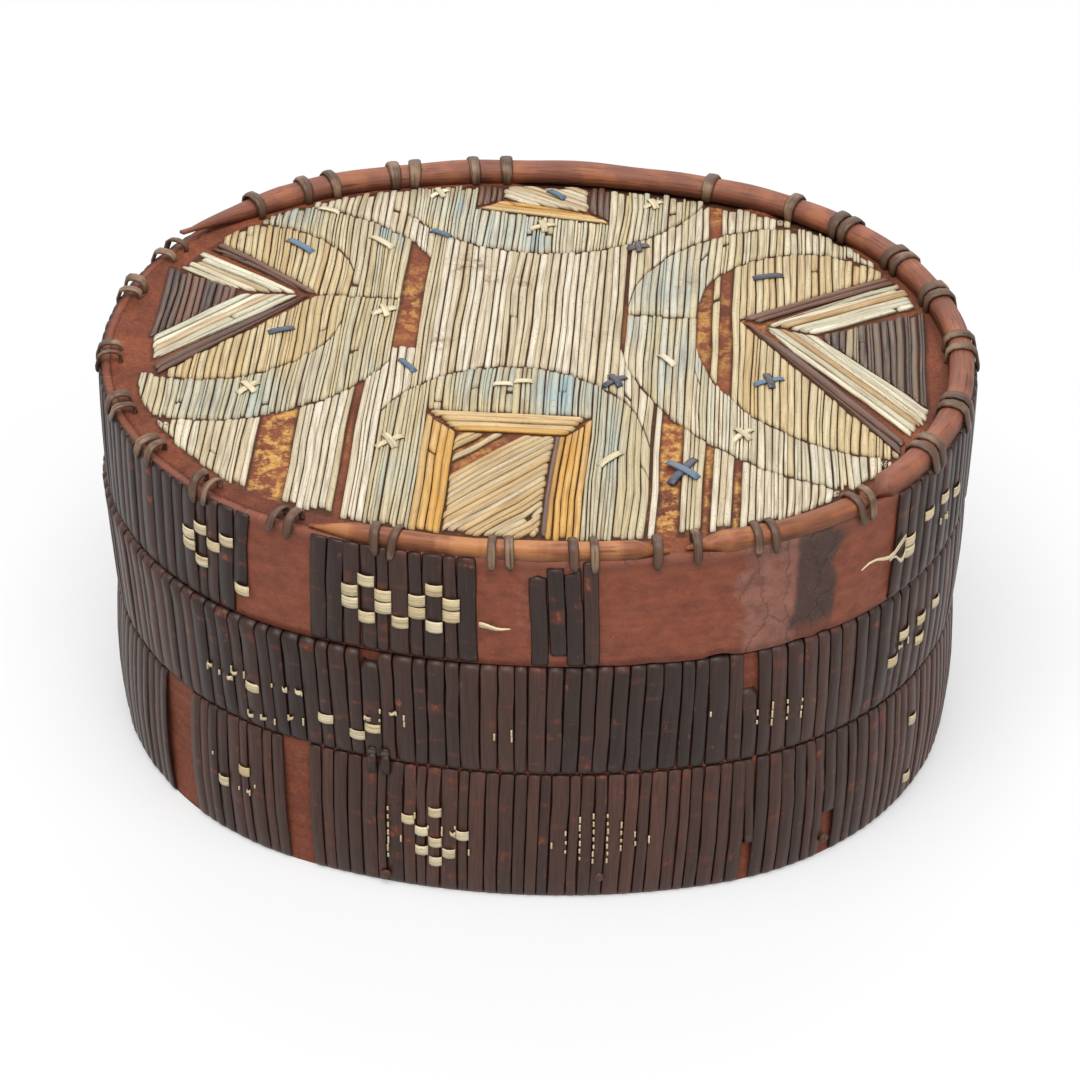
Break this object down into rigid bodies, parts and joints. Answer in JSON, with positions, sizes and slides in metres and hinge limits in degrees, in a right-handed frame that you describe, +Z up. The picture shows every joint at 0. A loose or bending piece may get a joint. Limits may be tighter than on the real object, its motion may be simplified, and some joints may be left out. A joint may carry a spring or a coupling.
{
  "type": "quill box",
  "caption": "Oval bark box with a lift-off lid, wound with dark root strips and laid with a quill mosaic on its lid.",
  "frame": {"origin": "middle of the base panel's underside, on the table", "axes": "+X along the box to the right, +Y to the back, +Z up"},
  "size_m": [0.2211, 0.1771, 0.1105],
  "materials": {
    "bark": "matt",
    "root_strip": "satin",
    "hoop_wood": "satin",
    "root_lashing": "satin",
    "quill_ivory": "satin",
    "quill_blue": "satin",
    "quill_gold": "satin",
    "quill_dark": "satin",
    "stitch_blue": "satin"
  },
  "bodies": {
    "box": {"base_panel": "bark", "inner_collar": "bark", "collar_stitches": "root_lashing", "lower_hoop": "bark", "lower_wraps": "root_strip", "lower_quill_checks": "quill_ivory", "upper_hoop": "bark", "upper_wraps": "root_strip", "upper_quill_checks": "quill_ivory", "ring_tie": "root_strip", "strip_knots": "root_strip"},
    "lid": {"lid_disc": "bark", "lid_band": "bark", "lid_wraps": "root_strip", "lid_quill_checks": "quill_ivory", "rim_hoop": "hoop_wood", "rim_splint_right": "hoop_wood", "rim_splint_front": "hoop_wood", "rim_lashings": "root_lashing", "loose_lashings": "root_lashing", "blue_stitches": "stitch_blue", "ivory_stitches": "quill_ivory", "centre_field": "quill_ivory", "back_left_field": "quill_ivory", "back_right_field": "quill_ivory", "front_left_field": "quill_ivory", "front_right_field": "quill_ivory", "left_fan_outer": "quill_blue", "left_fan_inner": "quill_gold", "left_chevron": "quill_ivory", "left_chevron_edges": "quill_dark", "left_core": "quill_dark", "right_fan_outer": "quill_blue", "right_fan_inner": "quill_gold", "right_chevron": "quill_ivory", "right_chevron_edges": "quill_dark", "right_core": "quill_dark", "front_fan": "quill_blue", "front_frame": "quill_gold", "front_frame_line": "quill_dark", "front_panel": "quill_ivory", "back_fan": "quill_blue", "back_frame": "quill_gold", "back_frame_sides": "quill_dark", "back_panel": "quill_ivory"}
  },
  "joints": [
    {"name": "lid_lift", "type": "slide", "parent": "box", "child": "lid", "axis": [0, 0, 1], "range_m": [0, 0.06]}
  ]
}
